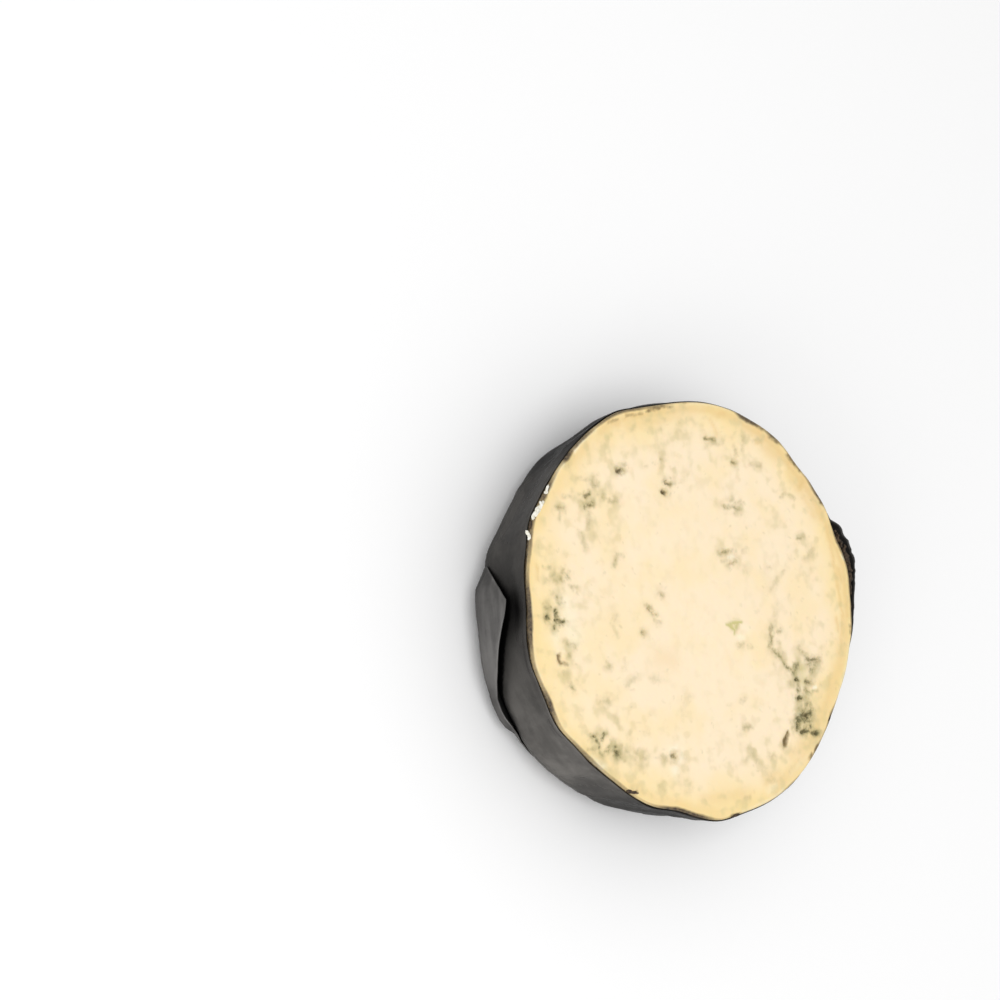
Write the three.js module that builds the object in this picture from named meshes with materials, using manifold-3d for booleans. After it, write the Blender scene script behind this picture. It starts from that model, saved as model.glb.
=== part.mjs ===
// A round slab of blue cheese, cut across a tall drum, in the dark foil that wraps its side and its
// rear end. It lies on the wrapped end with the cut face up. Millimetres, +Z up; angles are in degrees
// from +X towards +Y.
import * as THREE from "three";
import { mergeVertices } from "three/addons/utils/BufferGeometryUtils.js";
import Module from "manifold-3d";

// Driving dimensions
const FACE_RADIUS = 57.3; // mean radius of the cut face, so a drum about 115 across
const REAR_RADIUS = 56.4; // the drum draws in a little towards its end
const REAR_FROM = 16; // depth below the cut face where it has drawn in
const SLAB_HEIGHT = 27; // from the wrapped end to the cut face
const REAR_ROUNDING = 10; // round of the drum's end, outside the foil
const CUT_EDGE_ROUNDING = 0.6; // the knife leaves the rim of the face a little soft
const FOIL_WALL = 0.5; // the foil and the creases in it, on the side
const END_LAYERS = 1.2; // the foil gathered and folded over itself under the slab
const GAP = 0.3; // between the rind and the foil
const FOIL_BELOW_FACE = 0.4; // the cut foil ends just under the cut face
const STEPS_ROUND = 120; // steps of 3 degrees, so the flap's feet and tip stand on the grid

// Swells and flats of the cut face: angle, half width in degrees, and how far out
const FACE_SWELLS = [
  [12, 20, 1.3],
  [56, 16, -1.1],
  [77, 3, 0.8],
  [104, 6, -0.5],
  [140, 14, 0.9],
  [182, 16, -0.9],
  [240, 7, 0.9],
  [263, 7, -1.1],
  [285, 14, 0.6],
  [317, 13, -0.9],
  [341, 7, -1.4],
  [357, 6, 0.8],
];

// The same at the drum's end, which is pressed flat on one side
const REAR_SWELLS = [
  [228, 18, -2],
  [246, 5, 1],
  [266, 9, -1.6],
  [305, 14, 1.4],
  [342, 12, -0.6],
];

// The gathered end's corner of foil, folded up against the side as a three-cornered flap:
// angles of its feet and its tip, depths below the cut face, and how much its long edge bows
const FLAP = {
  left: 249,
  tip: 258,
  right: 303,
  tipDepth: 10.5,
  footDepth: 23,
  bow: 1.35,
  proud: 3, // how far it stands out at its tip
  lowEnd: 0.3, // the share of that at its right foot
  edge: 0.7, // length of surface that its front edge takes up
};

// The foil stands off the rind at the rim, from a sharp end to a long tail
const BULGE = { tail: 54, peak: 105, sharpEnd: 109, proud: 3.7, curve: 1.9, depth: 12 };

// Creases pressed into the foil's side: angle and depth of both ends, height and half width
const CREASES = [
  { from: [247, 9], to: [246, 24], high: 0.9, half: 3 },
  { from: [212, 3], to: [234, 12], high: 0.4, half: 2.5 },
  { from: [352, 6], to: [328, 20], high: 0.5, half: 3 },
  { from: [28, 22], to: [52, 4], high: 0.6, half: 3 },
  { from: [92, 14], to: [128, 23], high: 0.6, half: 3 },
  { from: [136, 3], to: [152, 19], high: 0.7, half: 3 },
  { from: [178, 20], to: [196, 8], high: 0.5, half: 3 },
];

// The pleats of the gathered end, under a straight fold on one side
const PLEATS = { count: 24, groove: 0.6, ridge: 0.5, disc: 14, full: 20 };
const END_FOLD = { facing: 200, from: 16, fade: 3 };

// The torn and cut edge of the foil: waves per turn and height
const RAGGED = [
  [7, 0.12],
  [17, 0.1],
  [31, 0.08],
];

// Low swells of the cut face, where the soft paste gave under the knife: height, length, heading, start
const FACE_WAVES = [
  { high: 0.15, length: 69, heading: 10, start: 0.6 },
  { high: 0.12, length: 48, heading: 125, start: 0 },
];
const FACE_SWELL_ENDS = 48;

// Openings in the cut face: place, length, width, turn of the length, and depth
const EYES = [
  { x: -39.6, y: -18.8, long: 2.4, wide: 2.0, turn: 0, deep: 1.1 },
  { x: -32.1, y: -4.2, long: 2.6, wide: 2.1, turn: 30, deep: 1.3 },
  { x: -45.5, y: 15.1, long: 3.4, wide: 1.3, turn: 60, deep: 0.8 },
  { x: -38.6, y: 22.7, long: 2.2, wide: 1.2, turn: 0, deep: 0.7 },
  { x: -31.6, y: -31.2, long: 3.2, wide: 1.4, turn: 10, deep: 0.8 },
  { x: -12.9, y: 15.3, long: 3.4, wide: 2.6, turn: 20, deep: 0.7 },
  { x: -3.0, y: -48.0, long: 4.2, wide: 2.2, turn: 40, deep: 0.9 },
  { x: 7.3, y: 12.5, long: 3.0, wide: 2.0, turn: 100, deep: 0.7 },
  { x: 20.8, y: 39.5, long: 4.6, wide: 3.2, turn: 20, deep: 1.2 },
  { x: 22.0, y: 32.0, long: 4.4, wide: 1.8, turn: 50, deep: 0.9 },
  { x: 29.0, y: 33.0, long: 4.0, wide: 2.0, turn: 10, deep: 1.0 },
  { x: 36.5, y: 33.6, long: 6.4, wide: 4.2, turn: 15, deep: 1.4 },
  { x: 40.7, y: 24.6, long: 4.6, wide: 1.7, turn: 150, deep: 1.2 },
  { x: 39.1, y: -16.0, long: 1.9, wide: 1.7, turn: 0, deep: 1.0 },
  { x: 31.0, y: -38.6, long: 4.4, wide: 1.8, turn: 60, deep: 0.8 },
];

const EYE_SIDES = 8;
const EYE_RINGS = 6;

// How far one angle lies past another, from -180 to 180
function past(angle, from) {
  return ((((angle - from + 180) % 360) + 360) % 360) - 180;
}

function bump(angle, at, half) {
  return Math.exp(-((past(angle, at) / half) ** 2));
}

function smooth(value, from, to) {
  return THREE.MathUtils.smoothstep(value, from, to);
}

function swollen(radius, swells, angle) {
  return swells.reduce((sum, [at, half, out]) => sum + out * bump(angle, at, half), radius);
}

// The drum's outline at an angle and a depth below the cut face, as a share of the mean radius
function outOfRound(angle, depth) {
  const face = swollen(FACE_RADIUS, FACE_SWELLS, angle);
  const rear = swollen(REAR_RADIUS, REAR_SWELLS, angle);
  return THREE.MathUtils.lerp(face, rear, smooth(depth, 0, REAR_FROM)) / FACE_RADIUS;
}

// How deep below the cut face the flap's front edge lies: two edges that meet at its tip
function flapFront(angle) {
  const rise = (angle - FLAP.left) / (FLAP.tip - FLAP.left);
  const fall = (FLAP.right - angle) / (FLAP.right - FLAP.tip);
  const share = THREE.MathUtils.clamp(Math.min(rise, fall), 0, 1);
  return THREE.MathUtils.lerp(FLAP.footDepth, FLAP.tipDepth, share ** FLAP.bow);
}

// How far the flap stands out, most of all from its left foot to its tip
function flapStandsOut(angle) {
  if (angle <= FLAP.left || angle >= FLAP.right) return 0;
  const fall = (FLAP.right - angle) / (FLAP.right - FLAP.tip);
  return FLAP.proud * THREE.MathUtils.lerp(FLAP.lowEnd, 1, Math.min(1, fall));
}

// How high the creases stand at a place on the side
function creasesStandOut(angle, depth) {
  const arc = (FACE_RADIUS * Math.PI) / 180;
  let high = 0;
  for (const crease of CREASES) {
    const across = past(crease.to[0], crease.from[0]) * arc;
    const down = crease.to[1] - crease.from[1];
    const x = past(angle, crease.from[0]) * arc;
    const y = depth - crease.from[1];
    const along = THREE.MathUtils.clamp((x * across + y * down) / (across ** 2 + down ** 2), 0, 1);
    const away = Math.hypot(x - along * across, y - along * down);
    high += crease.high * Math.max(0, 1 - away / crease.half);
  }
  return high;
}

// How far the rim stands off the rind
function bulgeStandsOut(angle, depth) {
  if (angle <= BULGE.tail || angle >= BULGE.sharpEnd) return 0;
  const tail = ((Math.min(angle, BULGE.peak) - BULGE.tail) / (BULGE.peak - BULGE.tail)) ** BULGE.curve;
  const end = Math.min(1, (BULGE.sharpEnd - angle) / (BULGE.sharpEnd - BULGE.peak));
  return BULGE.proud * tail * end * (1 - smooth(depth, 0, BULGE.depth));
}

// One pleat laid over the next, from 0 at its edge to 1 under the next one's
function pleat(angle, radius) {
  const along = radius * Math.cos(THREE.MathUtils.degToRad(past(angle, END_FOLD.facing)));
  const uncovered = 1 - smooth(along, END_FOLD.from - END_FOLD.fade, END_FOLD.from);
  const turn = (angle / 360) * PLEATS.count;
  return (turn - Math.floor(turn)) * smooth(radius, PLEATS.disc, PLEATS.full) * uncovered;
}

// A point of the slab's section, s millimetres of surface below the cut face, on the side and then
// round the end's edge; bottom is the height where that quarter round ends
function sectionPoint(sideRadius, bottom, s) {
  const straight = SLAB_HEIGHT - REAR_ROUNDING;
  if (s <= straight) return { radius: sideRadius, height: SLAB_HEIGHT - s };
  const across = sideRadius - (FACE_RADIUS + GAP + FOIL_WALL - REAR_ROUNDING);
  const turn = Math.min((s - straight) / REAR_ROUNDING, Math.PI / 2);
  return {
    radius: sideRadius - across + across * Math.cos(turn),
    height: REAR_ROUNDING - (REAR_ROUNDING - bottom) * Math.sin(turn),
  };
}

const SECTION_END = SLAB_HEIGHT - REAR_ROUNDING + (REAR_ROUNDING * Math.PI) / 2;

// The length of surface down to a depth, on the foil's outside
function surfaceTo(depth) {
  const straight = SLAB_HEIGHT - REAR_ROUNDING;
  if (depth <= straight) return depth;
  return straight + REAR_ROUNDING * Math.asin((depth - straight) / REAR_ROUNDING);
}

// Turns a section of so many points, the first and the last on the axis, into a closed surface;
// place(angle, ring) gives each point's radius and height
function turned(rings, place) {
  const section = [];
  for (let ring = 0; ring < rings; ring++) {
    section.push(new THREE.Vector2(ring === 0 || ring === rings - 1 ? 0 : 1, ring));
  }
  const geometry = new THREE.LatheGeometry(section, STEPS_ROUND).rotateX(Math.PI / 2);
  geometry.deleteAttribute("normal");
  geometry.deleteAttribute("uv");
  const position = geometry.getAttribute("position");
  for (let i = 0; i < position.count; i++) {
    const x = position.getX(i);
    const y = position.getY(i);
    const turn = THREE.MathUtils.radToDeg(Math.atan2(y, x));
    const { radius, height } = place((Math.round(turn * 100) / 100 + 360) % 360, i % rings);
    position.setXYZ(i, x * radius, y * radius, height);
  }
  return mergeVertices(geometry, 1e-3);
}

const wasm = await Module();
wasm.setup();

function solid(geometry) {
  const merged = mergeVertices(geometry, 1e-3);
  return new wasm.Manifold(
    new wasm.Mesh({
      numProp: 3,
      vertProperties: merged.getAttribute("position").array,
      triVerts: new Uint32Array(merged.index.array),
    }),
  );
}

function geometryOf(manifold) {
  const mesh = manifold.getMesh();
  const geometry = new THREE.BufferGeometry();
  geometry.setAttribute("position", new THREE.BufferAttribute(mesh.vertProperties, 3));
  geometry.setIndex(new THREE.BufferAttribute(mesh.triVerts, 1));
  return geometry;
}

// How far the cut face lies above or below its plane; the swells die out before the rim
function faceSwell(angle, radius) {
  const swell = FACE_WAVES.reduce((sum, wave) => {
    const along = radius * Math.cos(THREE.MathUtils.degToRad(angle - wave.heading));
    return sum + wave.high * Math.sin((2 * Math.PI * along) / wave.length + wave.start);
  }, 0);
  return swell * (1 - smooth(radius, FACE_SWELL_ENDS, FACE_RADIUS - CUT_EDGE_ROUNDING));
}

// The paste and its rind, one solid with the openings that the cut laid bare
function cheese() {
  const bottom = END_LAYERS + GAP;
  const straight = SLAB_HEIGHT - REAR_ROUNDING;
  const round = [0, 0.25, 0.5, 0.75, 1].map((share) => THREE.MathUtils.lerp(straight, SECTION_END, share));
  const side = [CUT_EDGE_ROUNDING, 5, 11, ...round].reverse();
  const onFace = [FACE_RADIUS - CUT_EDGE_ROUNDING, 51, 42, 32, 21, 10, 0];
  const body = turned(1 + side.length + onFace.length, (angle, ring) => {
    if (ring === 0) return { radius: 0, height: bottom };
    if (ring <= side.length) {
      const { radius, height } = sectionPoint(FACE_RADIUS, bottom, side[ring - 1]);
      return { radius: radius * outOfRound(angle, SLAB_HEIGHT - height), height };
    }
    const radius = onFace[ring - 1 - side.length];
    return { radius: radius * outOfRound(angle, 0), height: SLAB_HEIGHT + faceSwell(angle, radius) };
  });
  let paste = solid(body);
  for (const eye of EYES) {
    const hole = new THREE.SphereGeometry(1, EYE_SIDES, EYE_RINGS)
      .scale(eye.long / 2, eye.wide / 2, eye.deep)
      .rotateZ(THREE.MathUtils.degToRad(eye.turn))
      .translate(eye.x, eye.y, SLAB_HEIGHT);
    hole.deleteAttribute("normal");
    hole.deleteAttribute("uv");
    paste = paste.subtract(solid(hole));
  }
  return geometryOf(paste);
}

// Steps of the foil's section from the rim to the flap's front edge, and points from there under the slab
const ABOVE_FLAP = 6;
const BELOW_FLAP = 8;

// A point on the foil's outside; the grid bends so that one ring of it runs along the flap's front edge
function foilOutside(angle, ring) {
  const front = surfaceTo(flapFront(angle));
  const rim = FOIL_BELOW_FACE;
  const below = ring > ABOVE_FLAP;
  const share = below ? (ring - ABOVE_FLAP - 1) / (BELOW_FLAP - 1) : ring / ABOVE_FLAP;
  const s = below
    ? THREE.MathUtils.lerp(front, SECTION_END, share)
    : THREE.MathUtils.lerp(rim, front - FLAP.edge, share);
  const outside = FACE_RADIUS + GAP + FOIL_WALL;
  const { radius, height } = sectionPoint(outside, 0, s);
  const depth = SLAB_HEIGHT - height;
  const onSide = smooth(radius, outside - REAR_ROUNDING, outside - REAR_ROUNDING / 3);
  const onRound = 1 - smooth(height, REAR_ROUNDING / 2, REAR_ROUNDING);
  let out = bulgeStandsOut(angle, depth) + creasesStandOut(angle, depth) * onSide;
  if (below) out += flapStandsOut(angle) * onSide;
  out += PLEATS.ridge * (1 - pleat(angle, radius)) * onSide * onRound;
  return { radius: radius * outOfRound(angle, depth) + out, height };
}

function ragged(angle) {
  const turn = THREE.MathUtils.degToRad(angle);
  return RAGGED.reduce((sum, [waves, high]) => sum + high * Math.sin(waves * turn), 0);
}

// The foil: a thin cup round the side and the end, with its pleats, its folded flap and its loose rim.
// Its section runs from under the slab up the outside, over the rim and down the inside.
function foilWrap() {
  const under = [0, PLEATS.disc, PLEATS.full, 28, 36, 43];
  const outsideRings = ABOVE_FLAP + BELOW_FLAP + 1;
  const straight = SLAB_HEIGHT - REAR_ROUNDING;
  const inside = [FOIL_BELOW_FACE, 5, 10];
  for (let step = 0; step <= 4; step++) inside.push(THREE.MathUtils.lerp(straight, SECTION_END, step / 4));
  return turned(under.length + outsideRings + inside.length + 1, (angle, ring) => {
    if (ring < under.length) {
      const radius = under[ring] * outOfRound(angle, SLAB_HEIGHT);
      return { radius, height: PLEATS.groove * pleat(angle, under[ring]) };
    }
    const up = outsideRings - 1 - (ring - under.length);
    if (up >= 0) {
      const { radius, height } = foilOutside(angle, up);
      return { radius, height: height + (up === 0 ? ragged(angle) : 0) };
    }
    const down = -up - 1;
    if (down === inside.length) return { radius: 0, height: END_LAYERS };
    const point = sectionPoint(FACE_RADIUS + GAP, END_LAYERS, inside[down]);
    const depth = SLAB_HEIGHT - point.height;
    const radius = point.radius * outOfRound(angle, depth) + bulgeStandsOut(angle, depth);
    return { radius, height: point.height + (down === 0 ? ragged(angle) : 0) };
  });
}

// The finishes
const paste = new THREE.MeshStandardMaterial({ color: 0xfde6bd, roughness: 0.55, metalness: 0 });
const foil = new THREE.MeshStandardMaterial({ color: 0x4c4b49, roughness: 0.4, metalness: 0.6 });

const slab = new THREE.Group();
const cheeseMesh = new THREE.Mesh(cheese(), paste);
cheeseMesh.name = "cheese";
const foilMesh = new THREE.Mesh(foilWrap(), foil);
foilMesh.name = "foil_wrap";
slab.add(cheeseMesh, foilMesh);

// The origin is under the middle of the slab's box
const middle = new THREE.Box3().setFromObject(slab).getCenter(new THREE.Vector3());
for (const mesh of slab.children) mesh.position.set(-middle.x, -middle.y, 0);

export default slab;
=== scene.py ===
# A round slab of blue cheese, cut across a tall drum that was wrapped in dark foil. It lies on the wrapped
# end with the cut face up. Shapes are worked out in millimetres about the drum's axis, with angles in
# degrees from +X towards +Y, and each mesh is then moved to its place and scaled to metres.
import math
import random

import bmesh
import bpy
from mathutils import Matrix, Vector, kdtree, noise


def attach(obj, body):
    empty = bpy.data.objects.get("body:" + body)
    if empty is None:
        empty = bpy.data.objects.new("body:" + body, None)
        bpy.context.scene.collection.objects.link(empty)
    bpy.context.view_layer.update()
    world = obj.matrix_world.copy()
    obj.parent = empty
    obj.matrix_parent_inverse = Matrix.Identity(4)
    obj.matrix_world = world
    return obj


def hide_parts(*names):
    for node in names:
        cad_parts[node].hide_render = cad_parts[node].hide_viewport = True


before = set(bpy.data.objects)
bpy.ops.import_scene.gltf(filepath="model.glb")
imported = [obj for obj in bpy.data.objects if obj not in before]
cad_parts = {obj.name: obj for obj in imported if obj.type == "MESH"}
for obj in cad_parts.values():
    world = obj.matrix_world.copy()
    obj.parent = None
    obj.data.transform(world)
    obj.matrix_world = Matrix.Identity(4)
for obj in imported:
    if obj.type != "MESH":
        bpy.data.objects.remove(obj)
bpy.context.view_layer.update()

# The camera
# It stands over the slab's side and looks down on the cut face, 40 degrees off the upright. It is turned
# nearly a quarter round, so that down in the picture is the slab's +X.
MM = 0.001
PICTURE = 1000  # px each way
SENSOR = 36  # mm
FACE_ACROSS = 115  # mm
FACE_PIXELS = 419  # px, that width in the picture
FACE_SEEN_AT = (688.5, 606.6)  # px, the middle of the face in the picture
FACE_MIDDLE = Vector((-1.07, -3.36, 27))
CAMERA_DISTANCE = 7 * FACE_ACROSS
OFF_UPRIGHT = math.radians(40)
ROLLED = math.radians(9)

scene = bpy.context.scene
focal_pixels = FACE_PIXELS / FACE_ACROSS * CAMERA_DISTANCE
over = Vector((0, -math.sin(OFF_UPRIGHT), math.cos(OFF_UPRIGHT)))
rise = Vector((0, math.cos(OFF_UPRIGHT), math.sin(OFF_UPRIGHT)))
along = Vector((1, 0, 0))
picture_right = rise * math.cos(ROLLED) + along * math.sin(ROLLED)
picture_up = rise * math.sin(ROLLED) - along * math.cos(ROLLED)
eye = FACE_MIDDLE + over * CAMERA_DISTANCE
pixel = CAMERA_DISTANCE / focal_pixels
aim = FACE_MIDDLE - picture_right * (FACE_SEEN_AT[0] - PICTURE / 2) * pixel
aim -= picture_up * (PICTURE / 2 - FACE_SEEN_AT[1]) * pixel
back = (eye - aim).normalized()
right = picture_up.cross(back).normalized()
camera = bpy.data.objects.new("camera", bpy.data.cameras.new("camera"))
camera.data.sensor_width = SENSOR
camera.data.lens = SENSOR * focal_pixels / PICTURE
camera.data.clip_start = 0.01
turned = Matrix((right, back.cross(right), back)).transposed().to_4x4()
camera.matrix_world = Matrix.Translation(eye * MM) @ turned
scene.collection.objects.link(camera)
scene.camera = camera
scene.view_settings.view_transform = "Standard"


# The floor and the light
# A pale matt floor under plain studio light: an even white surround, a large soft lamp overhead and
# a lower one towards the picture's lower left, which the foil mirrors.
FLOOR_SIZE = 3.0
FLOOR_PALE = "#FCFCFC"
SURROUND = 0.75
LAMPS = {
    "overhead": {"at": (0.05, -0.25, 0.95), "size": 0.7, "watts": 2.75},
    "low_front": {"at": (0.42, -0.8, 0.34), "size": 0.45, "watts": 1.5},
}


def colour(hex_code):
    """An sRGB hex colour as linear red, green, blue and alpha."""
    channels = [int(hex_code[i : i + 2], 16) / 255 for i in (1, 3, 5)]
    return [*(c / 12.92 if c <= 0.04045 else ((c + 0.055) / 1.055) ** 2.4 for c in channels), 1]


def add(tree, kind, sockets, **settings):
    """Adds a node with its settings; a socket takes a value, another socket, or a node's first output."""
    made = tree.nodes.new("ShaderNode" + kind)
    for name, value in settings.items():
        setattr(made, name, value)
    for name, value in sockets.items():
        if isinstance(value, bpy.types.Node):
            value = value.outputs[0]
        if isinstance(value, bpy.types.NodeSocket):
            tree.links.new(value, made.inputs[name])
        else:
            made.inputs[name].default_value = value
    return made


def material(name):
    """A new material and its node tree, which is still empty."""
    made = bpy.data.materials.new(name)
    made.use_nodes = True
    made.node_tree.nodes.clear()
    return made, made.node_tree


def finished(bm, name, finish, axis=(0, 0, 0)):
    """Moves a mesh worked out in millimetres to its place, and makes a smooth-shaded object of it."""
    bmesh.ops.transform(bm, matrix=Matrix.Scale(MM, 4) @ Matrix.Translation(axis), verts=bm.verts)
    for face in bm.faces:
        face.smooth = True
    mesh = bpy.data.meshes.new(name)
    bm.to_mesh(mesh)
    bm.free()
    mesh.materials.append(finish)
    piece = bpy.data.objects.new(name, mesh)
    scene.collection.objects.link(piece)
    return piece


pale_floor, tree = material("matt_paper_floor")
shader = add(tree, "BsdfPrincipled", {"Base Color": colour(FLOOR_PALE), "Roughness": 0.9})
add(tree, "OutputMaterial", {"Surface": shader})
bm = bmesh.new()
bmesh.ops.create_grid(bm, x_segments=1, y_segments=1, size=FLOOR_SIZE / 2 / MM)
floor = finished(bm, "floor", pale_floor)

world = bpy.data.worlds.new("studio")
world.use_nodes = True
world.node_tree.nodes["Background"].inputs["Strength"].default_value = SURROUND
world.node_tree.nodes["Background"].inputs["Color"].default_value = (1, 1, 1, 1)
scene.world = world
for name, lamp in LAMPS.items():
    light = bpy.data.objects.new(name, bpy.data.lights.new(name, "AREA"))
    light.data.size = lamp["size"]
    light.data.energy = lamp["watts"]
    light.location = lamp["at"]
    light.rotation_euler = Vector(lamp["at"]).to_track_quat("Z", "Y").to_euler()
    scene.collection.objects.link(light)


# The cheese
# Pressed cow's-milk paste with blue mould in its cracks and eyes, under a thin brown rind. It was cut
# across with one pull of a knife, which left low swells in the face and laid the eyes open.
AXIS = Vector((-1.0145, -0.8293, 0))  # the drum's axis beside the origin
FACE_RADIUS = 57.3
REAR_RADIUS = 56.4
REAR_FROM = 16
SLAB_HEIGHT = 27
REAR_ROUNDING = 10
STRAIGHT = SLAB_HEIGHT - REAR_ROUNDING
CUT_EDGE_ROUNDING = 0.5
END_LAYERS = 1.2
FOIL_OUTSIDE = 58.1
RIND_RADIUS = 57.62  # the cheese fills the wrap, with hardly a gap
RIND_BOTTOM = END_LAYERS + 0.1
STEPS_ROUND = 432
RING = 0.62  # between the rings of the face
RIM_RINGS = [0.12, 0.3, 0.5, 0.75, 1.05, 1.4, 1.8, 2.3]  # in from the rounded edge
SIDE_STEP = 1.5  # between the rings of the side, and from the last one up to the face
ROUND_STEP = 1.6
UNDER_STEP = 6
EDGE_STEPS = 4
# Swells and flats of the outline: angle, half width in degrees, and how far out
FACE_SWELLS = [
    (12, 20, 1.3), (56, 16, -1.1), (77, 6, 0.4), (104, 6, -0.5), (140, 14, 0.9), (182, 16, -0.9),
    (240, 7, 0.9), (263, 7, -1.1), (285, 14, 0.6), (317, 13, -0.9), (341, 7, -1.4), (357, 6, 0.8),
]
REAR_SWELLS = [
    (200, 11, -2.2), (228, 18, -2), (246, 5, 1), (266, 9, -1.6), (305, 14, 1.4), (342, 12, -0.6),
]
# Where the knife pushed the soft paste over or pulled it in at the cut edge, down to a depth
EDGE_SWELLS = [
    (8, 14, -0.65), (94, 8, 0.95), (128, 5, -0.7), (146, 9, -0.25), (179, 16, -1.15), (197, 6, 0.6),
    (247, 7, -0.35), (261, 5, 0.3), (279, 4, 0.45), (288, 3, -0.25), (297, 5, 0.75), (337, 7, 0.5),
]
EDGE_SWELLS_END = 6
# Where it pushed the paste out over the foil's rim, and the depths over which that ends
LIPS = [(20, 18, 0.3), (64, 7, 0.35), (112, 4, 0.3), (174, 18, 0.5)]
LIPS_END = (1.2, 0.3)
DENT = {"at": 263, "half": 5.5, "depth": 8, "high": 3.2, "in": 1.1}  # a thumb's hollow beside the flap's tip
FACE_WAVES = [(0.15, 69, 10, 0.6), (0.12, 48, 125, 0)]  # height, length, heading and start
FACE_SWELL_ENDS = 48

# What shows on the cut face, each a stroke: where it starts, how far it runs in x and in y, its half
# width and its strength
PITS = [
    (-39.1, -19.7, 0.1, 1.1, 0.55, 0.95), (-32, -4.9, 0.2, 0.5, 0.55, 0.9),
    (-45.3, 13.5, 0.2, 2.8, 0.4, 0.3), (-38.1, 21.8, 0.2, 0.9, 0.45, 0.4),
    (-34.4, -3.7, 0.4, 1.5, 0.35, 0.5), (-33.9, -31.9, 0.2, 0.9, 0.45, 0.5),
    (-31.4, -31.2, 0.2, 0.4, 0.5, 0.45), (-31.5, -41.1, 0.1, 0.5, 0.4, 0.4),
    (-3.3, -51.3, 0.4, 0.1, 0.45, 0.35), (-1.9, -48.6, 0.7, 2.4, 0.4, 0.45),
    (-4.2, -48, 2.2, -0.4, 0.35, 0.3), (7.5, -49.5, 1.7, 0.3, 0.55, 0.4),
    (4.8, -19.9, 0.2, 0.4, 0.45, 0.25), (-1.2, -16.8, 1.6, 1.6, 0.35, 0.2),
    (-13.2, 12, -0.3, 2.8, 0.35, 0.2), (-9.9, 14.7, 0.1, 1.1, 0.3, 0.2), (10.9, 25.5, 0.5, -0.2, 0.45, 0.2),
    (20, 38, 0.5, 2.8, 0.45, 0.4), (25, 32.1, 0.2, 0.4, 0.45, 0.45), (30.2, 31.8, 0, 0.9, 0.45, 0.45),
    (26.2, 35.6, 0.2, 1.5, 0.5, 0.4), (34.8, 33, 0.1, 1.2, 0.55, 0.7), (36.6, 30.3, 1.2, -0.5, 0.5, 0.35),
    (39.5, 31.2, -0.1, 1.4, 0.45, 0.5), (40.4, 35.4, 0.2, 0.7, 0.55, 0.5),
    (41.8, 24.6, -1.4, 0.8, 0.6, 0.95), (40.2, 25.5, -0.9, 0.4, 0.5, 0.5),
    (39.1, -16.2, 0.2, 0.4, 0.5, 0.4), (35.2, -35.3, 0.5, 0.3, 0.55, 0.4),
    (30.2, -41.9, 0.1, 0.4, 0.35, 0.35),
]
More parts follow.
